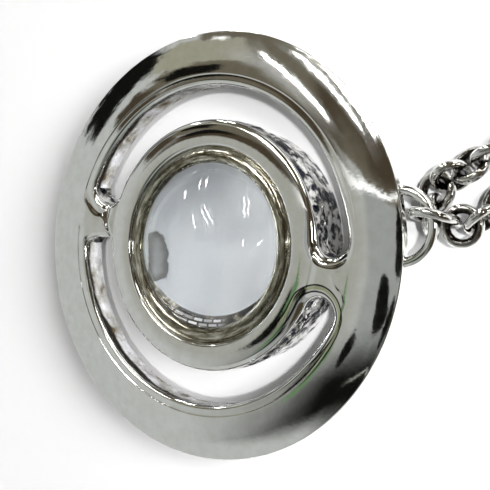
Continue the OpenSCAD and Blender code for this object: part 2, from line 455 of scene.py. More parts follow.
def top_height(r, degrees):
    """Height of the casting's front between the inner ring's face and the crease."""
    x, y = r * np.cos(np.radians(degrees)), r * np.sin(np.radians(degrees))
    gap = np.maximum(slot_gap(r, degrees), 0)
    crown = 0.06 * np.clip(r - CROWN_R, 0, 1.6) ** 2
    base = FACE_Z - crown - (FACE_Z - LAND_Z - 0.15) * smooth(11.3, 12.4, r)
    # the edge rolls over wider and deeper round the right neck
    near = smooth(34.0, 12.0, np.abs((degrees - RIGHT_NECK + 180) % 360 - 180))
    # away from the slots the flange's curve runs on inward across a neck
    beyond = smooth(1.0, 1.8, gap) * smooth(13.2, 14.2, r)
    beyond = np.maximum(beyond, near * smooth(14.9, 15.7, r))
    base = base + (flange_height(np.maximum(r, FLANGE_TOP_R)) - base) * beyond
    wide = EDGE + (SHOULDER - EDGE) * smooth(13.0, 12.0, r) + 0.75 * near
    deep = EDGE + 0.30 * near
    drop = deep * (1 - np.sqrt(1 - np.clip(1 - gap / wide, 0, 1) ** 2))
    drop = drop + groove(x, y, NECK_GROOVE) - groove(x, y, NECK_RIDGE)
    # past the slots' ends a low swell goes round, with a shallow valley outside it
    quiet = np.maximum(near, smooth(9.0, 4.0, np.abs(degrees - LEFT_NECK)))
    valley = 0.05 * (1 - quiet) * np.exp(-((gap - 1.0 - 0.3 * near) / 0.30) ** 2)
    valley = valley * smooth(12.8, 13.8, r) * smooth(15.7, 14.9, r)
    land_fall = 0.05 * smooth(15.1, CREASE_R, r) * (1 - beyond)
    return base - drop - valley - land_fall


print("flange", [round(float(flange_height(r)), 2) for r in (CREASE_R, RIM_R)], "mm high")

# %% [markdown]
# ## Columns of the grid
# The columns stand close together at the slots' round ends, where the edge turns quickly, and
# further apart along the plain arcs. Where a neck crosses, the two slot edges meet in one line and
# the surface is whole.

# %% Columns of the grid
CAP_STEPS, ARC_STEPS, NECK_STEPS = 15, 170, 40


def columns():
    """Each column's angle, its turn past a slot end's centre, and how square that end is."""
    found = []
    caps = np.radians(np.linspace(90, 0, CAP_STEPS))
    cap = [math.degrees(math.asin(HALF / MID * math.sin(f))) for f in caps]
    for k, (first, last) in enumerate(SLOTS):
        a, b = first + END, last - END
        for turn in cap:
            found.append((a - turn, turn, end_power(a)))
        for angle in np.linspace(a, b, ARC_STEPS)[1:-1]:
            found.append((angle, 0.0, 2))
        for turn in reversed(cap):
            found.append((b + turn, turn, end_power(b)))
        until = SLOTS[(k + 1) % 2][0] + (360 if k else 0)
        for i in range(1, NECK_STEPS):
            share = (1 - math.cos(math.pi * i / NECK_STEPS)) / 2
            found.append((last + (until - last) * share, None, 2))
    return found


def edges(turn, power):
    """Radii of the slot's inner and outer edge in a column, or of its tip across a neck."""
    if turn is None:
        return TIP_R, TIP_R
    reach = max(HALF ** power - (MID * math.sin(math.radians(turn))) ** power, 0) ** (1 / power)
    middle = MID * math.cos(math.radians(turn))
    return middle - reach, middle + reach


COLUMNS = columns()
ANGLES = np.array([angle for angle, _, _ in COLUMNS])
IN_R, OUT_R = np.array([edges(turn, power) for _, turn, power in COLUMNS]).T
OPEN = np.array([turn is not None for _, turn, _ in COLUMNS])
print(len(COLUMNS), "columns,", int(OPEN.sum()), "of them across a slot")

# %% [markdown]
# ## Rows of the grid
# Each row is one ring of points with its own radius and height: up the seat's wall, over the
# rubbed lip and the face, across to the rim and back underneath. Rows lie close where the metal
# curves and far apart where it is plain.

# %% Rows of the grid
SEAT_R, BALL_Z, SEAT_TOP = 8.95, 1.13, 31.0
TOP_R, RIM_ROUND_R = 10.1, RIM_R - 0.12
LIP_R, LIP_Z, LIP_WIDE, LIP_HIGH, LIP_FOOT_Z = 8.27, 5.40, 0.75, 0.74, 5.66
SEAT = ((10.2, 0), (9.2, 0), (8.34, 0), (8.3, 0.04), (8.3, 0.41), (8.34, 0.45), (8.9, 0.45),
        (SEAT_R, 0.5), (SEAT_R, BALL_Z))
FACE = ((9.06, LIP_FOOT_Z), (9.12, 5.72), (9.2, 5.86), (9.3, 5.98), (9.4, 6.035), (9.5, 6.05),
        (CROWN_R, FACE_Z))
LAND_SHARES = (0, 0.012, 0.03, 0.06, 0.1, 0.14, 0.19, 0.24, 0.3, 0.36, 0.42, 0.48, 0.54, 0.6, 0.66,
               0.72, 0.78, 0.84, 0.9, 0.95, 0.985)
UNDER = ((20.0, 4.7), (20.0, 4.35), (19.98, 4.26), (19.93, 4.21), (19.8, 4.18), (18.5, 3.91),
         (UNDER_R, UNDER_Z))


def rows():
    """Rows as (kind, radii, heights) from the seat, over the front, to the underside's slot edge."""
    n = len(COLUMNS)
    full = np.full
    found = []

    def fixed(kind, r, z):
        found.append((kind, full(n, r), full(n, z)))

    # underside of the inner ring, then its outer side from the necks' seam down, then the seat
    for share in (1.0, 0.6, 0.3, 0.0):
        found.append(("in_under", WALL_R + (IN_R - WALL_R) * share, full(n, UNDER_Z)))
    for share in np.linspace(0, 1, 22)[1:]:
        fixed("in_wall", WALL_R + (RING_BACK_R - WALL_R) * share, UNDER_Z * (1 - share))
    for r, z in SEAT:
        fixed("seat", r, z)
    for a in np.radians(np.linspace(0, SEAT_TOP, 10)[1:]):
        fixed("seat_wall", SEAT_R * math.cos(a), BALL_Z + SEAT_R * math.sin(a))
    # rubbed-over lip, groove and face
    for angle in range(168, -1, -14):
        wide = LIP_WIDE * math.cos(math.radians(angle)) * (0.85 if angle > 90 else 1)
        high = LIP_Z + LIP_HIGH * math.sin(math.radians(angle)) ** 0.8
        fixed("lip", LIP_R + wide, high if angle else LIP_FOOT_Z)
    for r, z in FACE:
        fixed("face", r, z)
    for share in np.sin(np.radians(np.linspace(0, 90, 34))):
        r = TOP_R + (IN_R - TOP_R) * share
        found.append(("in_top", r, top_height(r, ANGLES)))
    # the slot, then the outer ring from its edge
    for share in LAND_SHARES:
        r = OUT_R + (CREASE_R - OUT_R) * share
        found.append(("out_top", r, top_height(r, ANGLES)))
    fixed("flange", CREASE_R + 0.02, flange_height(CREASE_R + 0.02) - 0.002)
    for r in np.linspace(CREASE_R + 0.08, RIM_ROUND_R, 24):
        fixed("flange", r, flange_height(r))
    for r, z in ((19.94, -0.02), (19.98, -0.06), (RIM_R, -0.13)):
        fixed("flange", r, flange_height(RIM_ROUND_R) + z)
    for r, z in UNDER:
        fixed("under", r, z)
    for share in (0.7, 0.4, 0.15, 0.0):
        found.append(("out_under", OUT_R + (UNDER_R - OUT_R) * share, full(n, UNDER_Z)))
    return found


ROWS = rows()
print(len(ROWS), "rows")

# %% [markdown]
# ## Rough walls
# The slots' walls keep the lumps of the mould. Three sizes of noise push each wall point along
# the wall's own normal, and the push fades out at the top edge, which was polished.
# A displace modifier would dent the polished front as well, so we move the wall's points alone.

# %% Rough walls
LUMP_HEIGHT = 0.34
LUMPS = ((0.5, 0.9), (0.3, 2.3), (0.2, 5.1))


def wall_push(x, y, z, depth):
    """Lumps of the cast wall in millimetres at a depth below its top edge."""
    p = Vector((x, y, z))
    lumps = sum(share * noise.noise(p * scale) for share, scale in LUMPS)
    return lumps * LUMP_HEIGHT * smooth(0.1, 0.9, depth)


print("a lump 2 mm down:", round(float(wall_push(11.7, 0, 4, 2)), 3), "mm")

# %% [markdown]
# ## Build the casting
# Between the front's two slot edges, and down to the underside, a slot column gets wall rows.
# Neck columns have none, and their edges are welded together later. Each face takes its metal
# from the row that it belongs to.
# Every row has the same number of points, so nearly all faces have four corners and shade evenly.

# %% The casting's points and faces
POLISHED, CAST, LIP, SATIN = range(4)
ROW_METAL = {"in_wall": CAST, "seat_wall": CAST, "lip": LIP}
# stretches of the outer walls that are as rough as the inner ring's side, in degrees
ROUGH_OUTER = ((158, 163), (176, 179.5))
WALL_ROWS = 18
SLOT_ENDS = [centre for first, last in SLOTS for centre in (first + END, last - END)]


def apart(a, b):
    """Degrees between two directions."""
    return abs((a - b + 180) % 360 - 180)


def wall_foot(i):
    """The point that a column's wall faces: its slot end's centre, or the slot's middle line."""
    centre = ANGLES[i]
    if COLUMNS[i][1]:
        centre = min(SLOT_ENDS, key=lambda c: apart(c, ANGLES[i]))
    return MID * math.cos(math.radians(centre)), MID * math.sin(math.radians(centre))


def build_casting():
    n = len(COLUMNS)
    cos, sin = np.cos(np.radians(ANGLES)), np.sin(np.radians(ANGLES))
    verts, faces, mats = [], [], []

    def add_row(r, z):
        first = len(verts)
        verts.extend(zip(r * cos, r * sin, z))
        return first

    def skin(a, b, metal, only_open=False):
        for i in range(n):
            j = (i + 1) % n
            if only_open and not (OPEN[i] and OPEN[j] and apart(ANGLES[j], ANGLES[i]) < 5):
                continue
            faces.append((a + i, a + j, b + j, b + i))
            rough = metal == SATIN and any(low <= ANGLES[i] % 360 <= high for low, high in ROUGH_OUTER)
            mats.append(CAST if rough else metal)

    def wall(top_row, edge_r, inner):
        """Rows of one slot wall from the front's edge down."""
        top_z = ROWS[top_row][2]
        before = starts[top_row]
        for k in range(1, WALL_ROWS + 1):
            z = top_z + (UNDER_Z - top_z) * (k / WALL_ROWS)
            row = len(verts)
            for i in range(n):
                x, y = edge_r[i] * cos[i], edge_r[i] * sin[i]
                foot_x, foot_y = wall_foot(i)
                away = Vector((x - foot_x, y - foot_y)).normalized()
                push = wall_push(x, y, z[i], top_z[i] - z[i])
                push = push * (1 if k < WALL_ROWS else 0.3) * (1 if inner else 0.6)
                verts.append((x + away.x * push, y + away.y * push, z[i]))
            upper, lower = (row, before) if inner else (before, row)
            skin(upper, lower, CAST if inner else SATIN, only_open=True)
            before = row
        return before

    starts = [add_row(r, z) for _, r, z in ROWS]
    kinds = [kind for kind, _, _ in ROWS]
    for k in range(len(ROWS) - 1):
        if kinds[k:k + 2] != ["in_top", "out_top"]:
            skin(starts[k + 1], starts[k], ROW_METAL.get(kinds[k], POLISHED))
    first_out_top = kinds.index("out_top")
    bottom_in = wall(first_out_top - 1, IN_R, True)
    bottom_out = wall(first_out_top, OUT_R, False)
    skin(starts[0], bottom_in, CAST, only_open=True)
    skin(bottom_out, starts[-1], SATIN, only_open=True)
    return verts, faces, mats


verts, faces, mats = build_casting()
print("casting without its bail:", len(verts), "points")

# %% [markdown]
# ## The bail
# The bail is a half ring of wire soldered under the rim. Its two feet sink into the casting. The
# helper that makes it also makes the jump ring and every link later on.
# Blender's own torus is always a whole ring, and this one has to stop at its feet.

# %% Bail loop
def tube_ring(at, radius, wire_r, across, along, steps, sides, turns=(0, 360)):
    """Points and faces of a wire ring, or of a part of one, in the plane of two directions."""
    across, along = Vector(across).normalized(), Vector(along).normalized()
    normal = across.cross(along)
    closed = abs(turns[1] - turns[0]) >= 360
    count = steps if closed else steps + 1
    points, quads = [], []
    for i in range(count):
        a = math.radians(turns[0] + (turns[1] - turns[0]) * i / steps)
        out = across * math.cos(a) + along * math.sin(a)
        for k in range(sides):
            b = 2 * math.pi * k / sides
            middle = Vector(at) + out * (radius + wire_r * math.cos(b))
            points.append(tuple(middle + normal * (wire_r * math.sin(b))))
    for i in range(count if closed else count - 1):
        for k in range(sides):
            a, b = i * sides, ((i + 1) % count) * sides
            quads.append((a + k, b + k, b + (k + 1) % sides, a + (k + 1) % sides))
    return points, quads


BAIL_AT, BAIL_R, BAIL_WIRE, BAIL_TURNS = (19.35, 1.8, 4.4), 3.15, 0.5, (-90, 102)
bail_points, bail_faces = tube_ring(BAIL_AT, BAIL_R, BAIL_WIRE, (1, 0, 0), (0, 1, 0), 48, 20, BAIL_TURNS)
shift = len(verts)
verts += bail_points
faces += [tuple(v + shift for v in f) for f in bail_faces]
mats += [POLISHED] * len(bail_faces)
print("bail of", len(bail_faces), "faces")

# %% [markdown]
# ## The casting's mesh
# The points now become one smooth mesh that stands for the CAD frame. A weld joins the doubled
# points across the necks.
# It carries four metals, because the real casting is one piece with four kinds of skin.

# %% The casting's mesh
def add_object(name, data):
    """A new object in the scene: a mesh, a lamp or a camera."""
    obj = bpy.data.objects.new(name, data)
    bpy.context.scene.collection.objects.link(obj)
    return obj


def mesh_piece(name, verts, faces, replaced, mats, face_mats=None, inward=None):
    """A smooth mesh from millimetre points, standing for one CAD node."""
    mesh = bpy.data.meshes.new(name)
    points = np.asarray(verts, float) * MM
    mesh.from_pydata([tuple(p) for p in points], [], faces)
    for m in mats:
        mesh.materials.append(m)
    if face_mats is not None:
        mesh.polygons.foreach_set("material_index", np.asarray(face_mats, np.int32))
    mesh.polygons.foreach_set("use_smooth", np.ones(len(mesh.polygons), bool))
    if inward is not None:
        facing = mesh.attributes.new("inward", "FLOAT", "POINT")
        facing.data.foreach_set("value", np.asarray(inward, np.float32))
    mesh.update()
    obj = add_object(name, mesh)
    obj.location = CENTRE
    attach(obj, "root")
    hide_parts(replaced)
    print(name, "has", len(mesh.polygons), "faces")
    return obj


casting_metals = [polished.mat, cast.mat, lip.mat, satin.mat]
casting = mesh_piece("casting", verts, faces, "pendant_frame", casting_metals, mats)
weld = casting.modifiers.new("weld", "WELD")
weld.merge_threshold = 1e-6

# %% [markdown]
# ## The crystal
# A solid ball of clear glass bends everything behind it. A smooth ball with the glass's own
# bending strength shows the seat's bright edge as a ring inside it. The ball is ground flat and
# dull where it faces the table, and what the eye sees through its clear top lies on that base.
# The ring could be painted on, but it would then stay put when the eye moves.

# %% Clear and ground glass
glass = Finish("crystal", Roughness=0.0, IOR=1.5)
glass.shader.inputs["Transmission Weight"].default_value = 1.0
glass.to("Base Color", glass.ramp(glass.noise(60, 2), (0.3, (0.93, 0.96, 0.98)), (0.7, (0.97, 0.98, 1.0))))
ground = Finish("ground_crystal", IOR=1.5)
ground.rough(900, 4, (0.3, 0.35), (0.7, 0.5))
clear = ground.ramp(ground.noise(260, 3), (0.32, (0.80, 0.84, 0.88)), (0.62, (0.96, 0.98, 1.0)))
print("clear glass of", len(glass.tree.nodes), "nodes")

# %% [markdown]
# At the left a small rounded mirror image is painted in the base. It is a box with soft sides, dark
# along its outline and grey inside. It is painted, because the thing that it mirrors is out of sight
# and would have to be invented. The base is also painted darker toward the upper left, as painted
# shade.

# %% Grey patch and shade of the base
base_x, base_y, _ = ground.split(ground.coords)
# each soft side of the patch: the value, where it is 0 and where it is 1, in millimetres
PATCH_SIDES = ((base_x, -4.8, -5.35), (base_x, -5.75, -5.4), (base_y, -2.0, -1.4), (base_y, 0.75, 0.0))
patch = ground.product(*(ground.between(value, low * MM, high * MM) for value, low, high in PATCH_SIDES))
wobble = ground.maths("SUBTRACT", ground.noise(1300, 3), 0.55)
patch = ground.maths("ADD", patch, ground.product(wobble, ground.between(patch, 0.0, 0.05)))
patch_look = ground.ramp(patch, (0.1, (0.03, 0.03, 0.026)), (0.4, (0.09, 0.09, 0.08)),
                         (0.85, (0.42, 0.44, 0.43)))
# painted shade: the base, and later its glow, darker toward the upper left
upper_left = ground.maths("SUBTRACT", base_y, base_x)
clear = ground.blend(ground.between(upper_left, 4.5 * MM, 8.5 * MM), clear, (0.50, 0.53, 0.55, 1))
patch_part = ground.between(patch, 0.0, 0.12)
clear = ground.blend(patch_part, clear, patch_look)
print("patch with", len(PATCH_SIDES), "soft sides")

# %% [markdown]
# Low in the crystal the eye looks past the clear part of its base. There a painted reflection
# shows: a dark crescent with two rows of pale dashes, like lamps seen in the foil of a set stone. A
# brick pattern that runs round the pendant makes the dashes, and its mortar is the dark between them.

# %% Dashes of the crescent
ground.coords = ground.vectors("ADD", ground.coords, (1.2 * MM, -0.6 * MM, 0))
_, (turn, out, _) = ground.around()
DASH_R = 5.3
dash = ground.join(ground.product(turn, DASH_R), ground.product(out, 1 / MM))
# painted reflection: pale dashes like lamps seen in a stone's foil
bricks = ground.add("ShaderNodeTexBrick", dash, offset=0.45)
BRICK = {"Scale": 1.0, "Brick Width": 0.66, "Row Height": 0.30, "Mortar Size": 0.075,
         "Mortar Smooth": 0.3, "Bias": -0.15, "Color1": (1.0, 1.0, 1.0, 1),
         "Color2": (0.03, 0.03, 0.025, 1), "Mortar": (0.012, 0.012, 0.01, 1)}
for key, value in BRICK.items():
    bricks.inputs[key].default_value = value
print("dashes", BRICK["Brick Width"], "by", BRICK["Row Height"], "mm")

# %% [markdown]
# The crescent lets no light through, so it stays dark. The rest of the base glows a little: it
# stands for light that the real crystal gathers from all sides and that this ball can't collect.

# %% Crescent and glow of the base
spots = ground.ramp(ground.noise(1500, 4, 0.6), (0.42, (0.002, 0.001, 0.004)),
                    (0.54, (0.05, 0.045, 0.03)), (0.66, (0.45, 0.43, 0.36)))
rows_share = ground.product(ground.between(turn, -2.30, -2.20), ground.between(turn, -1.55, -1.65),
                            ground.between(out, 5.10 * MM, 5.14 * MM))
dark_part = ground.blend(rows_share, spots, bricks.outputs["Color"])
# the dark crescent of the painted reflection, which lets no light through
low_part = ground.product(ground.between(out, 4.88 * MM, 4.93 * MM), ground.between(turn, -0.5, -0.75))
ground.to("Base Color", ground.blend(low_part, clear, dark_part))
ground.to("Transmission Weight", ground.maths("SUBTRACT", 1.0, low_part))
NO_LIGHT = (0, 0, 0, 1)
stray = ground.ramp(ground.noise(420, 3, 0.6), (0.38, (0.66, 0.69, 0.72)), (0.62, (0.96, 0.98, 1.0)))
stray = ground.blend(ground.between(upper_left, 2.0 * MM, 7.0 * MM), stray, (0.16, 0.17, 0.18, 1))
glow = ground.blend(patch_part, stray, NO_LIGHT)
ground.to("Emission Color", ground.blend(low_part, glow, NO_LIGHT))
ground.shader.inputs["Emission Strength"].default_value = 0.27
print("base of", len(ground.tree.nodes), "nodes")

# %% [markdown]
# The ball is a grid of rings of points, closed by a fan of triangles at its top and on its flat
# base. An edge split keeps the corner round the base sharp.
# Blender's own sphere would have to be cut. Here the last ring lies on the flat from the start.

# %% Crystal ball
BALL_R, FLAT_Z, BALL_TURNS, BALL_RINGS = 8.9, 0.5, 160, 90


def ball(radius, centre_z, flat_z, turns, rings):
    """A ball with a ground flat base."""
    low = math.asin((flat_z - centre_z) / radius)
    points, quads = [(0, 0, centre_z + radius)], []
    for k in range(1, rings + 1):
        a = math.pi / 2 + (low - math.pi / 2) * k / rings
        for i in range(turns):
            t = 2 * math.pi * i / turns
            points.append((radius * math.cos(a) * math.cos(t), radius * math.cos(a) * math.sin(t),
                           centre_z + radius * math.sin(a)))
    quads += [(0, 1 + i, 1 + (i + 1) % turns) for i in range(turns)]
    for k in range(rings - 1):
        a, b = 1 + k * turns, 1 + (k + 1) * turns
        quads += [(a + i, b + i, b + (i + 1) % turns, a + (i + 1) % turns) for i in range(turns)]
    base = 1 + (rings - 1) * turns
    points.append((0, 0, flat_z))
    quads += [(base + i, len(points) - 1, base + (i + 1) % turns) for i in range(turns)]
    return points, quads


points, quads = ball(BALL_R, BALL_Z, FLAT_Z, BALL_TURNS, BALL_RINGS)
# only the base's triangles start past the first ring of points
on_base = [1 if len(q) == 3 and q[0] > BALL_TURNS else 0 for q in quads]
orb = mesh_piece("orb", points, quads, "crystal_orb", [glass.mat, ground.mat], on_base)
sharp = orb.modifiers.new("edge", "EDGE_SPLIT")
sharp.split_angle = math.radians(40)

# %% [markdown]
# ## Jump ring
# One round wire ring goes through the bail and carries both ends of the chain. It leans on the
# rim, so it stands almost upright.
# Two angles place it: where it heads, and how far it is turned about that heading.

# %% Jump ring
RING_AT, RING_TURNS, JUMP_R, JUMP_WIRE = (22.24, 2.58, 3.6), (-8.7, 78.5), 1.95, 0.45


def standing_ring(at, heading, turn, radius, wire_r, steps, sides):
    """A wire ring at a heading, turned about it, and how far its points face its middle."""
    h, t = math.radians(heading), math.radians(turn)
    ahead = Vector((math.cos(h), math.sin(h), 0))
    side = Vector((-math.sin(h), math.cos(h), 0)) * math.cos(t) + Vector((0, 0, math.sin(t)))
    points, quads = tube_ring(at, radius, wire_r, ahead, side, steps, sides)
    facing = np.tile((1 - np.cos(2 * np.pi * np.arange(sides) / sides)) / 2, steps)
    return points, quads, facing


points, quads, facing = standing_ring(RING_AT, *RING_TURNS, JUMP_R, JUMP_WIRE, 72, 20)
mesh_piece("wire_ring", points, quads, "jump_ring", [wire.mat], None, facing)

# %% [markdown]
# ## Chain
# The links thread through each other, so their places follow the same path as the solids: a few
# links listed one by one beside the pendant, then two strands that bend out and meet at the clasp.
# A simulated chain would look as real, but it would come to rest beside the solids, not on them.

# %% Plan of the two strands
LINK_R, LINK_W, PITCH, LOOP_HALF, LOOP_X = 1.5, 0.42, 2.0, 42.0, 205.0
CLASP_R, END_LOOP_R, END_LOOP_OFF, END_REACH = 2.65, 1.6, 0.4, 0.4
# where the strands stop beside the clasp's end loop and beside its ring
EYE_END_Y = CLASP_R + END_LOOP_OFF + END_LOOP_R + END_LOOP_R + END_REACH
RING_END_Y = -CLASP_R - END_REACH
# per strand: its first links (x, y, z, heading, turn), the start of its path (x, y, heading), the
# radius of its first bend, the heading after that, and the radius and turn of its last bend
FIRST = {
    "upper": ([(21.16, 2.91, 1.95, 81, 99), (21.38, 4.89, 1.6, 47, -14),
               (22.88, 6.16, 1.85, 29, 62), (24.66, 7.07, 1.84, 21, -35)],
              (26.54, 7.8, 22), 60, 40, LOOP_HALF - EYE_END_Y, -90),
    "lower": ([(24.43, 1.86, 2.91, 69, 9), (26.07, 2.49, 2.28, 37, 83.5), (27.42, 3.83, 1.87, 38, -24)],
              (29.2, 4.74, 22), 16, -50, LOOP_HALF + RING_END_Y, 90),
}
print("links set by hand:", [len(plan[0]) for plan in FIRST.values()])

# %% [markdown]
# A strand's path is a list of bends and straights. Walking along it in equal steps gives every
# link's place and heading. Links of a real chain settle from standing to leaning once nothing
# pulls at them, so the turn about the strand changes over the first thirty links.
# A modifier that bends a straight chain along a curve would bend its links too.

# %% Walk along a strand
SETTLE_LINKS, SETTLE_TURN, LINK_TURNS = 30, -30, (75, -15)


def walk(place, length, turn, s):
    """Place and heading after s millimetres of a bend or straight of that length and turn."""
    x, y, h = place
    if turn == 0:
        return x + s * math.cos(math.radians(h)), y + s * math.sin(math.radians(h)), h
    r, new = math.degrees(length / turn), h + turn * s / length
    return (x + r * (math.sin(math.radians(new)) - math.sin(math.radians(h))),
            y - r * (math.cos(math.radians(new)) - math.cos(math.radians(h))), new)


def strand(first, start, bend_r, leave, far_r, far_turn):
    """Every link of one strand: x, y, z, heading and turn about the strand."""
    sin, cos = (lambda a: math.sin(math.radians(a))), (lambda a: math.cos(math.radians(a)))
    side = 1 if far_turn < 0 else -1
    bend = leave - start[2]
    bend_length = math.radians(abs(bend)) * bend_r
    after = walk(start, bend_length, bend, bend_length)
    back_r = (side * LOOP_HALF - after[1]) * side / (1 - cos(leave))
    turn_x = after[0] + back_r * abs(sin(leave))
    path = [(bend_length, bend), (math.radians(abs(leave)) * back_r, -leave),
            (LOOP_X - far_r - turn_x, 0), (math.radians(90) * far_r, far_turn)]
    total = sum(length for length, _ in path)
    count = math.ceil(total / PITCH)
    links = list(first)
    for i in range(count + 1):
        s, place = i * total / count, start
        for length, turn in path:
            if s <= length or (length, turn) == path[-1]:
                break
            place, s = walk(place, length, turn, length), s - length
        x, y, h = walk(place, length, turn, s)
        settle = SETTLE_TURN * min(1, i / SETTLE_LINKS)
        links.append((x, y, LINK_R * sin(LINK_TURNS[0] + settle) + LINK_W, h, LINK_TURNS[i % 2] + settle))
    return links


STRANDS = {name: strand(*plan) for name, plan in FIRST.items()}
for name, links in STRANDS.items():
    print(name, "strand has", len(links), "links")

# %% [markdown]
# The links near the pendant are seen close up, so they get more points than the far ones.
# Each strand becomes one mesh. Two hundred separate ones would be slow and no better to look at.

# %% Links of the chain
FINE_LINKS = 12
for name, links in STRANDS.items():
    verts, faces, facing = [], [], []
    for i, (x, y, z, heading, turn) in enumerate(links):
        steps, sides = (48, 16) if i < FINE_LINKS else (24, 10)
        points, quads, inward = standing_ring((x, y, z), heading, turn, LINK_R, LINK_W, steps, sides)
        facing.extend(inward)
        faces += [tuple(v + len(verts) for v in q) for q in quads]
        verts += points
    mesh_piece("links_" + name, verts, faces, "chain_" + name, [wire.mat], None, facing)

# %% [markdown]
# ## Clasp
# The clasp lies at the far end of the loop. Its CAD solid is already right, so it only needs
# its metal.

# %% Clasp
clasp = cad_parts["clasp"]
clasp.data.materials.clear()
clasp.data.materials.append(wire.mat)
print("clasp has", len(clasp.data.polygons), "faces")

# %% [markdown]
# ## Table
# The table is a grey card that the strong lamp lights up to white, so the dim room weighs less
# in its shadows.
# A plain white one would need less light, and its shadows would then turn too pale. It lies a hair
# below the pieces, because two surfaces in one place fight over which is seen.

# %% Table
table_finish = Finish("table_white", Roughness=0.7)
card = table_finish.ramp(table_finish.noise(8, 2), (0.3, grey(0.22)), (0.7, grey(0.23)))
table_finish.to("Base Color", card)
bpy.ops.mesh.primitive_plane_add(size=3, location=(0, 0, -0.00002))
table = bpy.context.object
table.name = "table"
table.data.materials.append(table_finish.mat)
table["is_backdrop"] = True
print("table is", round(table.dimensions.x, 1), "m wide")

# %% [markdown]
# ## Room
# Polished metal shows the room more than itself, so the room needs some care: a pale wall low on
# the left, a dark ceiling, and a few light tubes. Each is a patch of one colour with soft edges,
# painted over the ones before it.
# Real boxes and lamps round the table would mirror as well, but painted patches are quicker to
# move, and they never stand in the way of the lamps or the camera.

# %% Patches of the room
DARK, BROWN, OLIVE = (0.006, 0.006, 0.005), (0.065, 0.050, 0.032), (0.15, 0.135, 0.10)
KHAKI, PALE, SOFT = (0.36, 0.355, 0.28), (0.53, 0.545, 0.535), (0.41, 0.415, 0.375)
MIDDLE, MOSS, HAZE = (0.36, 0.375, 0.365), (0.14, 0.25, 0.12), (0.45, 0.45, 0.43)
BRIGHT, TUBE, STRIP = grey(1.4), grey(26.0), grey(40.0)
PATCHES = (
    # shape, degrees right and up of overhead, half sizes, turn, soft edge, colour
    ("round", -27, 1, 16, 16, 0, 0.6, SOFT),
    ("box", 45, 0, 55, 100, 0, 0.06, MIDDLE),
    ("box", 25, -4, 9, 22, 0, 0.3, OLIVE),
    ("box", 50, 0, 24, 60, 0, 0.2, BROWN),
    ("box", 92, 0, 18, 120, 0, 0.3, BRIGHT),
    ("box", 45, 82, 45, 18, 0, 0.3, BRIGHT),
    ("box", -45, 80, 40, 20, 0, 0.3, BROWN),
    ("box", -9, 36, 36, 25, -8, 0.03, OLIVE),
    ("box", -31, 11.5, 12, 3.2, 4, 0.3, BROWN),
    ("round", -37, 13, 3.0, 2.2, 0, 0.3, DARK),
    ("box", 2, 34, 8, 18, -20, 0.5, BROWN),
    ("box", -12, 26, 4, 14, -30, 0.6, BROWN),
    ("box", 8, 18, 9, 6, -10, 0.4, BROWN),
    ("box", -62, 30, 9, 12, -25, 0.12, DARK),
    ("box", -41, 34, 11, 7.5, 4, 0.1, KHAKI),
    ("box", -40, 22, 5, 3.2, -15, 0.12, DARK),
    ("box", -47, 15, 4.5, 3, -40, 0.2, BROWN),
    ("box", -25.0, 25.5, 9, 3.6, -58, 0.9, HAZE),
    ("box", -22.4, 26.4, 8.5, 0.5, -58, 0.3, STRIP),
    ("box", -8.5, 32.0, 11, 2.4, -45, 0.9, HAZE),
    ("box", -6.0, 35.8, 13, 0.5, -46, 0.3, STRIP),
    ("box", -9.2, 31.9, 10.0, 0.5, -46, 0.3, STRIP),
    ("round", -38, 42, 1.6, 1.0, 0, 0.9, BRIGHT),
    ("box", -1, 9.6, 17, 0.8, 6, 0.5, BRIGHT),
    ("box", -6, -28, 22, 10, -13, 0.7, DARK),
    ("box", 4, -27, 7, 0.5, -4, 0.6, SOFT),
    ("round", 4.4, -11.2, 4.4, 6.2, 14, 0.06, DARK),
    ("round", -10.6, -16, 2.7, 4.0, -20, 0.1, DARK),
    ("round", 13.0, 1, 2.0, 8, 4, 0.08, DARK),
    ("round", 11.2, -17.5, 3.2, 7, -15, 0.08, DARK),
    ("box", -23, -14, 2.0, 4, -30, 0.4, MOSS),
    ("round", -29, -7.5, 3.2, 5, 30, 0.25, DARK),
    ("box", -25, -4.6, 2.4, 2.4, -20, 0.3, MOSS),
    ("box", 34.4, 52, 0.8, 15, 20, 0.2, TUBE),
    ("box", 39.6, 52, 0.8, 15, 20, 0.2, TUBE),
    ("box", 43, 3, 1.1, 4.5, -10, 0.3, TUBE),
    ("box", 63, 4, 1.0, 6, -35, 0.3, TUBE),
    ("box", -51, 52, 1.6, 4.5, 45, 0.2, TUBE),
    ("box", -40, 68, 0.9, 7, 42, 0.2, TUBE),
    ("box", -33, 73, 0.9, 7, 42, 0.2, TUBE),
)
print(len(PATCHES), "patches planned")

# %% [markdown]
# The room is painted on the sky all round. A direction becomes a place on a flat map: degrees
# right and degrees up of straight overhead. A slow ripple bends every edge a little, because the
# metal's own waves aren't quite enough. High on the left the real room is cluttered, so the edges
# there are ragged.

# %% Map of the sky
world = bpy.data.worlds.new("room")
bpy.context.scene.world = world
world.use_nodes = True
room = Nodes(world.node_tree)


def ripple(place, scale, detail):
    """Shifts to all sides, from noise of that many features a degree."""
    node = room.add("ShaderNodeTexNoise", place)
    node.inputs["Scale"].default_value, node.inputs["Detail"].default_value = scale, detail
    return room.vectors("SUBTRACT", node.outputs["Color"], (0.5, 0.5, 0.5))


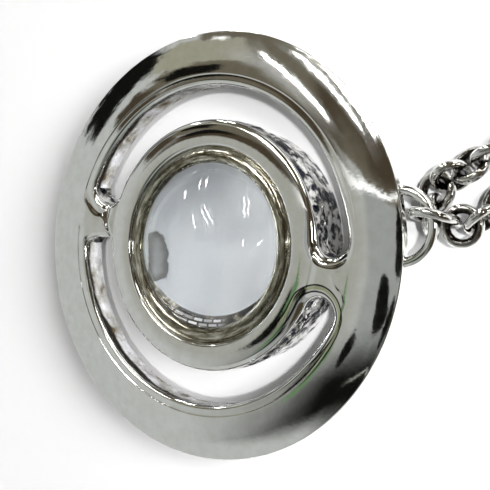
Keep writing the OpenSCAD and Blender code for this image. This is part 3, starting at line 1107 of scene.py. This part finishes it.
def sky_map():
    """Degrees right and up of straight overhead, for any direction that light comes from."""
    x, y, z = room.split(room.add("ShaderNodeTexCoord").outputs["Generated"])
    squares = room.maths("ADD", room.product(x, x), room.product(y, y))
    flat = room.maths("SQRT", room.maths("ADD", squares, 1e-6))
    scale = room.maths("DIVIDE", room.product(room.maths("ARCCOSINE", z), math.degrees(1)), flat)
    right, above = room.product(x, scale), room.product(y, scale)
    place = room.join(right, above)
    bent = room.vectors("ADD", place, room.vectors("MULTIPLY", ripple(place, 0.12, 2.0), (5.0, 5.0, 0.0)))
    much = room.product(room.between(right, -22.0, -48.0, 0.5, 9.0), room.between(above, 9.0, 22.0),
                        room.between(above, 47.0, 41.0))
    ragged = room.vectors("MULTIPLY", ripple(place, 0.42, 4.0), room.join(much, much))
    return room.vectors("ADD", bent, ragged)


place = sky_map()
print("sky map of", len(room.tree.nodes), "nodes")

# %% [markdown]
# Each patch turns and scales the map about its own middle. There a box's edge is where the larger
# of the two distances is 1, and a round's edge is where the length is 1.

# %% Paint the room
colour = (*PALE, 1)
for shape, right, above, wide, high, turn, soft, tint in PATCHES:
    local = room.add("ShaderNodeMapping", place, (right, above, 0), (0, 0, math.radians(turn)),
                     (wide, high, 1), vector_type="TEXTURE").outputs[0]
    if shape == "box":
        x, y, _ = room.split(room.vectors("ABSOLUTE", local))
        reach = room.maths("MAXIMUM", x, y)
    else:
        reach = room.add("ShaderNodeVectorMath", local, operation="LENGTH").outputs["Value"]
    share = room.between(reach, 1 - soft, 1 + soft, 1.0, 0.0, interpolation_type="SMOOTHSTEP")
    colour = room.blend(share, colour, (*tint, 1))
room.feed([room.tree.nodes["Background"].inputs["Color"]], [colour])
print("room of", len(room.tree.nodes), "nodes")

# %% [markdown]
# ## Lamps
# A broad lamp low on the chain's side lights the table and casts the soft shadow to the left. A
# weak one from the viewer's side fills it. Mirrors don't see the lamps, because the room already
# holds the lights that they show.

# %% Key and fill
def lamp(name, kind, place, facing, power, **settings):
    """A lamp at a place, shining that way, that mirrors don't see."""
    light = bpy.data.lights.new(name, kind)
    light.energy = power
    for key, value in settings.items():
        setattr(light, key, value)
    obj = add_object(name, light)
    obj.location, obj.visible_glossy = place, False
    obj.rotation_euler = facing.to_track_quat("-Z", "Y").to_euler()
    return obj


# each lamp's place from the pendant in metres, its width and its power
AREA_LAMPS = {"key": ((1.00, 0.11, 0.66), 0.65, 106), "fill": ((0.57, 0.0, 0.82), 0.25, 3)}
for name, (place, size, power) in AREA_LAMPS.items():
    off = Vector(place)
    lamp(name, "AREA", CENTRE + off, Vector((0, 0, 0)) - off, power,
         shape="RECTANGLE", size=size, size_y=size)
    print(name, "lamp", round(off.length, 2), "m away")

# %% [markdown]
# The ground seen through the slots is nearly as white as the open table, although the rings shade
# it. So a narrow beam from the viewer's side lights the right part of the disc and what lies under
# its slots. Mirrors and glass don't see it, and its own shadows fall where the viewer can't look.

# %% Beam through the slots
BEAM_AIM, BEAM_FAR, BEAM_REACH = Vector((10, 0, 0)) * MM, 0.6, 19 * MM
BEAM_OPENS = 2 * math.atan(BEAM_REACH / BEAM_FAR)
slope = Vector((0.57, 0.0, 0.82)).normalized()
beam = lamp("beam", "SPOT", CENTRE + BEAM_AIM + slope * BEAM_FAR, -slope, 94,
            shadow_soft_size=0.02, spot_blend=0.5, spot_size=BEAM_OPENS)
beam.visible_transmission = False
print("beam opens", round(math.degrees(BEAM_OPENS), 1), "degrees")

# %% [markdown]
# ## Camera
# The photo looks down on the pendant from the chain's side, about 35 degrees off straight down.
# The pendant sits a little left of the picture's middle, so the camera stands a little to the
# right of it.
# It stands only 12 centimetres away, so the disc's near side looks larger than its far side.

# %% Camera
TILT, ROLL, FAR, LENS = math.radians(34.6), math.radians(0.8), 120.0, 94.3
# how far right of the pendant the camera stands, as a share of its distance
ASIDE = 32.4 / 1283.4
towards = Vector((math.sin(TILT), 0, math.cos(TILT)))
right = Vector((0, 1, 0)).cross(towards).normalized()
up = towards.cross(right)
right, up = right * math.cos(ROLL) + up * math.sin(ROLL), up * math.cos(ROLL) - right * math.sin(ROLL)
camera = bpy.data.cameras.new("camera")
camera.lens, camera.sensor_width, camera.clip_start = LENS, 36, 0.005
cam = add_object("camera", camera)
place = CENTRE + (towards * FAR + right * (ASIDE * FAR) + Vector((0, 0, RIM_Z))) * MM
cam.matrix_world = Matrix((
    (right.x, up.x, towards.x, place.x), (right.y, up.y, towards.y, place.y),
    (right.z, up.z, towards.z, place.z), (0, 0, 0, 1)))
scene = bpy.context.scene
scene.camera = cam
scene.view_settings.view_transform = "Standard"
print("camera", round(FAR), "mm from the pendant")

# %% [markdown]
# ## Sizes
# The last step measures everything again and prints the box round the dressed pieces.

# %% Measure the sizes again
end_low, end_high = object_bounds()
"[\n" + ",\n".join(str([round(v, 6) for v in corner]) for corner in (start_low, start_high, end_low, end_high)) + "\n]\n"
print("box", tuple(end_low), tuple(end_high))
